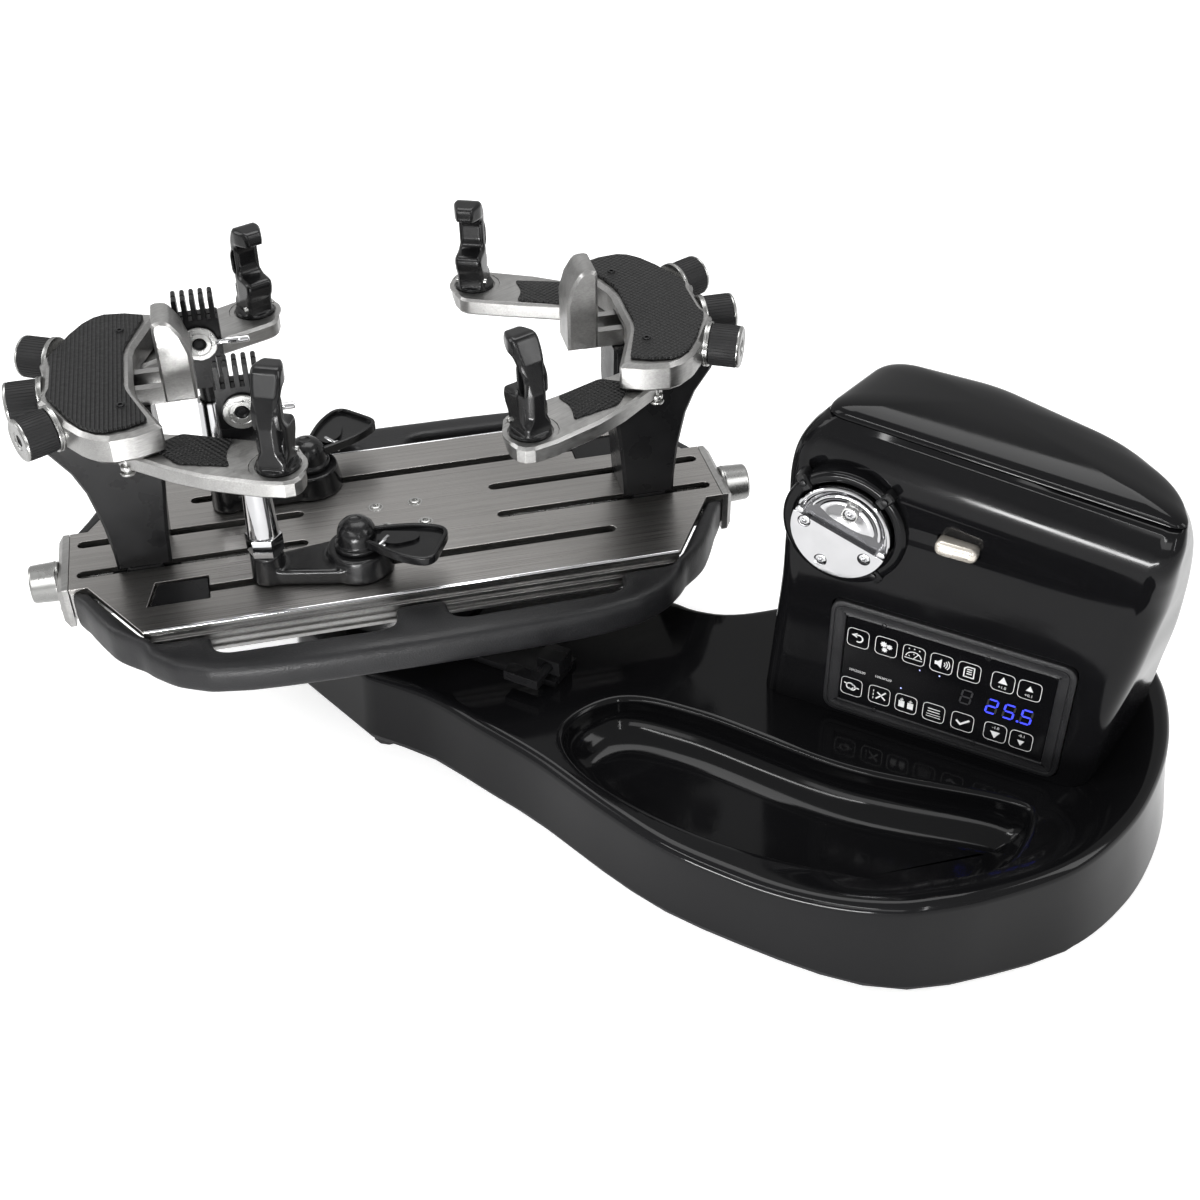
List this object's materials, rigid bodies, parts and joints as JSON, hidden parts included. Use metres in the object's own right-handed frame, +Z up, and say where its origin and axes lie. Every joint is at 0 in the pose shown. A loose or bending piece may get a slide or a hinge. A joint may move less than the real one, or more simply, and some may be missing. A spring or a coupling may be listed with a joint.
{
  "type": "racket stringing machine",
  "caption": "Racket stringing machine: a turntable with six-point frame mounting and two string clamps, beside an electric tension head on a tower.",
  "frame": {"origin": "middle of the machine's footprint, on the table it stands on", "axes": "+Z up; +X along the base from the turntable towards the tension head's tower; +Y away from the user, who stands at -Y facing the control panel"},
  "size_m": [0.874, 0.456, 0.3626],
  "materials": {
    "cover": "gloss",
    "casting": "satin",
    "deck": "brushed",
    "black": "satin",
    "plastic": "textured",
    "rubber": "matt",
    "chrome": "polished",
    "glass": "gloss",
    "button": "pearl"
  },
  "bodies": {
    "base": {"base_cover": "cover", "base_pan": "plastic", "foot_front_left": "rubber", "foot_front_right": "rubber", "foot_rear_left": "rubber", "foot_rear_right": "rubber", "tower_housing": "cover", "tower_lid": "cover", "panel_bezel": "plastic", "panel_glass": "glass", "turntable_pedestal": "black"},
    "tension_button": {"tension_button": "button"},
    "tension_drum": {"gripper_drum": "chrome"},
    "string_jaw": {"gripper_jaw": "chrome"},
    "brake_lever": {"brake_lever": "black"},
    "turntable": {"turntable_hub": "black", "deck_plate": "deck", "deck_chassis": "casting", "end_plate_left": "casting", "end_plate_right": "casting", "bumper_front": "plastic", "bumper_rear": "plastic"},
    "stand_right": {"stand_right": "black", "head_right": "casting", "head_pad_right": "rubber"},
    "end_knob_right": {"end_knob_right": "casting"},
    "hoop_support_right": {"head_support_right": "casting"},
    "centre_knob_right": {"knob_centre_right": "rubber"},
    "side_knob_front_right": {"knob_front_right": "rubber"},
    "arm_front_right": {"arm_front_right": "casting"},
    "shoulder_clamp_front_right": {"shoulder_clamp_front_right": "black"},
    "side_knob_rear_right": {"knob_rear_right": "rubber"},
    "arm_rear_right": {"arm_rear_right": "casting"},
    "shoulder_clamp_rear_right": {"shoulder_clamp_rear_right": "black"},
    "stand_left": {"stand_left": "black", "head_left": "casting", "head_pad_left": "rubber"},
    "end_knob_left": {"end_knob_left": "casting"},
    "hoop_support_left": {"head_support_left": "casting"},
    "centre_knob_left": {"knob_centre_left": "rubber"},
    "side_knob_rear_left": {"knob_rear_left": "rubber"},
    "arm_rear_left": {"arm_rear_left": "casting"},
    "shoulder_clamp_rear_left": {"shoulder_clamp_rear_left": "black"},
    "side_knob_front_left": {"knob_front_left": "rubber"},
    "arm_front_left": {"arm_front_left": "casting"},
    "shoulder_clamp_front_left": {"shoulder_clamp_front_left": "black"},
    "clamp_slider_front": {"clamp_slider_front": "chrome"},
    "clamp_base_front": {"clamp_base_front": "black", "clamp_post_front": "chrome"},
    "lock_lever_front": {"lock_lever_front": "black"},
    "clamp_head_front": {"clamp_head_front": "black"},
    "cam_lever_front": {"cam_lever_front": "casting"},
    "clamp_jaw_front": {"clamp_jaw_front": "black"},
    "clamp_slider_rear": {"clamp_slider_rear": "chrome"},
    "clamp_base_rear": {"clamp_base_rear": "black", "clamp_post_rear": "chrome"},
    "lock_lever_rear": {"lock_lever_rear": "black"},
    "clamp_head_rear": {"clamp_head_rear": "black"},
    "cam_lever_rear": {"cam_lever_rear": "casting"},
    "clamp_jaw_rear": {"clamp_jaw_rear": "black"}
  },
  "joints": [
    {"name": "tension_button_press", "type": "slide", "parent": "base", "child": "tension_button", "axis": [0, 1, 0], "range_m": [0, 0.003], "stiffness_N_per_m": 200},
    {"name": "tension_drum_turn", "type": "hinge", "parent": "base", "child": "tension_drum", "pos_m": [0.18124, 0.003, 0.247], "axis": [0, 1, 0], "range_deg": [0, 270]},
    {"name": "string_jaw_close", "type": "slide", "parent": "tension_drum", "child": "string_jaw", "axis": [-0.309, 0, -0.9511], "range_m": [0, 0.006]},
    {"name": "brake_lever_turn", "type": "hinge", "parent": "base", "child": "brake_lever", "pos_m": [-0.02375, -0.046, 0.09133], "axis": [0, 1, 0], "range_deg": [0, 38]},
    {"name": "turntable_spin", "type": "hinge", "parent": "base", "child": "turntable", "pos_m": [-0.19176, 0, 0.078], "axis": [0, 0, 1], "continuous": true},
    {"name": "stand_right_slide", "type": "slide", "parent": "turntable", "child": "stand_right", "axis": [0.7524, 0.6587, 0], "range_m": [-0.038, 0.028]},
    {"name": "end_knob_right_turn", "type": "hinge", "parent": "turntable", "child": "end_knob_right", "pos_m": [0.01892, 0.18443, 0.131], "axis": [0.7524, 0.6587, 0], "range_deg": [-2737, 2017]},
    {"name": "hoop_support_right_slide", "type": "slide", "parent": "stand_right", "child": "hoop_support_right", "axis": [0.7524, 0.6587, 0], "range_m": [-0.028, 0.002]},
    {"name": "centre_knob_right_turn", "type": "hinge", "parent": "stand_right", "child": "centre_knob_right", "pos_m": [-0.00365, 0.16467, 0.29505], "axis": [0.7524, 0.6587, 0], "range_deg": [-2017, 145]},
    {"name": "side_knob_front_right_turn", "type": "hinge", "parent": "stand_right", "child": "side_knob_front_right", "pos_m": [0.02256, 0.12183, 0.2995], "axis": [0.9694, 0.2453, 0], "range_deg": [0, 500]},
    {"name": "arm_front_right_swing", "type": "hinge", "parent": "stand_right", "child": "arm_front_right", "pos_m": [-0.00438, 0.07897, 0.28], "axis": [0, 0, 1], "range_deg": [-0.1, 10.1]},
    {"name": "shoulder_clamp_front_right_swivel", "type": "hinge", "parent": "arm_front_right", "child": "shoulder_clamp_front_right", "pos_m": [-0.04659, -0.02842, 0.288], "axis": [0, 0, 1], "range_deg": [-25, 25]},
    {"name": "side_knob_rear_right_turn", "type": "hinge", "parent": "stand_right", "child": "side_knob_rear_right", "pos_m": [-0.04265, 0.19632, 0.2995], "axis": [0.3714, 0.9285, 0], "range_deg": [0, 500]},
    {"name": "arm_rear_right_swing", "type": "hinge", "parent": "stand_right", "child": "arm_rear_right", "pos_m": [-0.08869, 0.17528, 0.28], "axis": [0, 0, 1], "range_deg": [-10.1, 0.1]},
    {"name": "shoulder_clamp_rear_right_swivel", "type": "hinge", "parent": "arm_rear_right", "child": "shoulder_clamp_rear_right", "pos_m": [-0.20073, 0.14764, 0.288], "axis": [0, 0, 1], "range_deg": [-25, 25]},
    {"name": "stand_left_slide", "type": "slide", "parent": "turntable", "child": "stand_left", "axis": [-0.7524, -0.6587, 0], "range_m": [-0.001, 0.028]},
    {"name": "end_knob_left_turn", "type": "hinge", "parent": "turntable", "child": "end_knob_left", "pos_m": [-0.40243, -0.18443, 0.131], "axis": [-0.7524, -0.6587, 0], "range_deg": [-73, 2017]},
    {"name": "hoop_support_left_slide", "type": "slide", "parent": "stand_left", "child": "hoop_support_left", "axis": [-0.7524, -0.6587, 0], "range_m": [-0.028, 0.002]},
    {"name": "centre_knob_left_turn", "type": "hinge", "parent": "stand_left", "child": "centre_knob_left", "pos_m": [-0.37986, -0.16467, 0.29505], "axis": [-0.7524, -0.6587, 0], "range_deg": [-2017, 145]},
    {"name": "side_knob_rear_left_turn", "type": "hinge", "parent": "stand_left", "child": "side_knob_rear_left", "pos_m": [-0.40607, -0.12183, 0.2995], "axis": [-0.9694, -0.2453, 0], "range_deg": [0, 500]},
    {"name": "arm_rear_left_swing", "type": "hinge", "parent": "stand_left", "child": "arm_rear_left", "pos_m": [-0.37913, -0.07897, 0.28], "axis": [0, 0, 1], "range_deg": [-0.1, 10.1]},
    {"name": "shoulder_clamp_rear_left_swivel", "type": "hinge", "parent": "arm_rear_left", "child": "shoulder_clamp_rear_left", "pos_m": [-0.33692, 0.02842, 0.288], "axis": [0, 0, 1], "range_deg": [-25, 25]},
    {"name": "side_knob_front_left_turn", "type": "hinge", "parent": "stand_left", "child": "side_knob_front_left", "pos_m": [-0.34086, -0.19632, 0.2995], "axis": [-0.3714, -0.9285, 0], "range_deg": [0, 500]},
    {"name": "arm_front_left_swing", "type": "hinge", "parent": "stand_left", "child": "arm_front_left", "pos_m": [-0.29481, -0.17528, 0.28], "axis": [0, 0, 1], "range_deg": [-10.1, 0.1]},
    {"name": "shoulder_clamp_front_left_swivel", "type": "hinge", "parent": "arm_front_left", "child": "shoulder_clamp_front_left", "pos_m": [-0.18278, -0.14764, 0.288], "axis": [0, 0, 1], "range_deg": [-25, 25]},
    {"name": "string_clamp_front_slide", "type": "slide", "parent": "turntable", "child": "clamp_slider_front", "axis": [0.7524, 0.6587, 0], "range_m": [0, 0.14]},
    {"name": "string_clamp_front_swivel", "type": "hinge", "parent": "clamp_slider_front", "child": "clamp_base_front", "pos_m": [-0.18099, -0.07299, 0.148], "axis": [0, 0, 1], "range_deg": [-60, 0]},
    {"name": "lock_lever_front_turn", "type": "hinge", "parent": "clamp_slider_front", "child": "lock_lever_front", "pos_m": [-0.18099, -0.07299, 0.173], "axis": [0, 0, 1], "range_deg": [-25, 25]},
    {"name": "clamp_head_front_lift", "type": "slide", "parent": "clamp_base_front", "child": "clamp_head_front", "axis": [0, 0, 1], "range_m": [-0.0135, 0]},
    {"name": "cam_lever_front_turn", "type": "hinge", "parent": "clamp_head_front", "child": "cam_lever_front", "pos_m": [-0.22865, -0.12475, 0.305], "axis": [0.6587, -0.7524, 0], "range_deg": [-0.5, 50.5]},
    {"name": "clamp_jaw_front_close", "type": "slide", "parent": "clamp_head_front", "child": "clamp_jaw_front", "axis": [-0.6587, 0.7524, 0], "range_m": [0, 0.001]},
    {"name": "string_clamp_rear_slide", "type": "slide", "parent": "turntable", "child": "clamp_slider_rear", "axis": [0.7524, 0.6587, 0], "range_m": [0, 0.14]},
    {"name": "string_clamp_rear_swivel", "type": "hinge", "parent": "clamp_slider_rear", "child": "clamp_base_rear", "pos_m": [-0.28298, 0.00255, 0.148], "axis": [0, 0, 1], "range_deg": [0, 60]},
    {"name": "lock_lever_rear_turn", "type": "hinge", "parent": "clamp_slider_rear", "child": "lock_lever_rear", "pos_m": [-0.28298, 0.00255, 0.173], "axis": [0, 0, 1], "range_deg": [-25, 25]},
    {"name": "clamp_head_rear_lift", "type": "slide", "parent": "clamp_base_rear", "child": "clamp_head_rear", "axis": [0, 0, 1], "range_m": [-0.0135, 0]},
    {"name": "cam_lever_rear_turn", "type": "hinge", "parent": "clamp_head_rear", "child": "cam_lever_rear", "pos_m": [-0.31881, -0.06066, 0.305], "axis": [0.6587, -0.7524, 0], "range_deg": [-0.5, 50.5]},
    {"name": "clamp_jaw_rear_close", "type": "slide", "parent": "clamp_head_rear", "child": "clamp_jaw_rear", "axis": [-0.6587, 0.7524, 0], "range_m": [0, 0.001]}
  ],
  "couplings": [
    {"joint": "end_knob_right_turn", "follows": "stand_right_slide", "rad_per_m": 1256.6},
    {"joint": "centre_knob_right_turn", "follows": "hoop_support_right_slide", "rad_per_m": 1256.6},
    {"joint": "arm_front_right_swing", "follows": "side_knob_front_right_turn", "ratio": 0.02},
    {"joint": "arm_rear_right_swing", "follows": "side_knob_rear_right_turn", "ratio": -0.02},
    {"joint": "end_knob_left_turn", "follows": "stand_left_slide", "rad_per_m": 1256.6},
    {"joint": "centre_knob_left_turn", "follows": "hoop_support_left_slide", "rad_per_m": 1256.6},
    {"joint": "arm_rear_left_swing", "follows": "side_knob_rear_left_turn", "ratio": 0.02},
    {"joint": "arm_front_left_swing", "follows": "side_knob_front_left_turn", "ratio": -0.02},
    {"joint": "cam_lever_front_turn", "follows": "clamp_jaw_front_close", "rad_per_m": 877.19},
    {"joint": "cam_lever_rear_turn", "follows": "clamp_jaw_rear_close", "rad_per_m": 877.19}
  ]
}
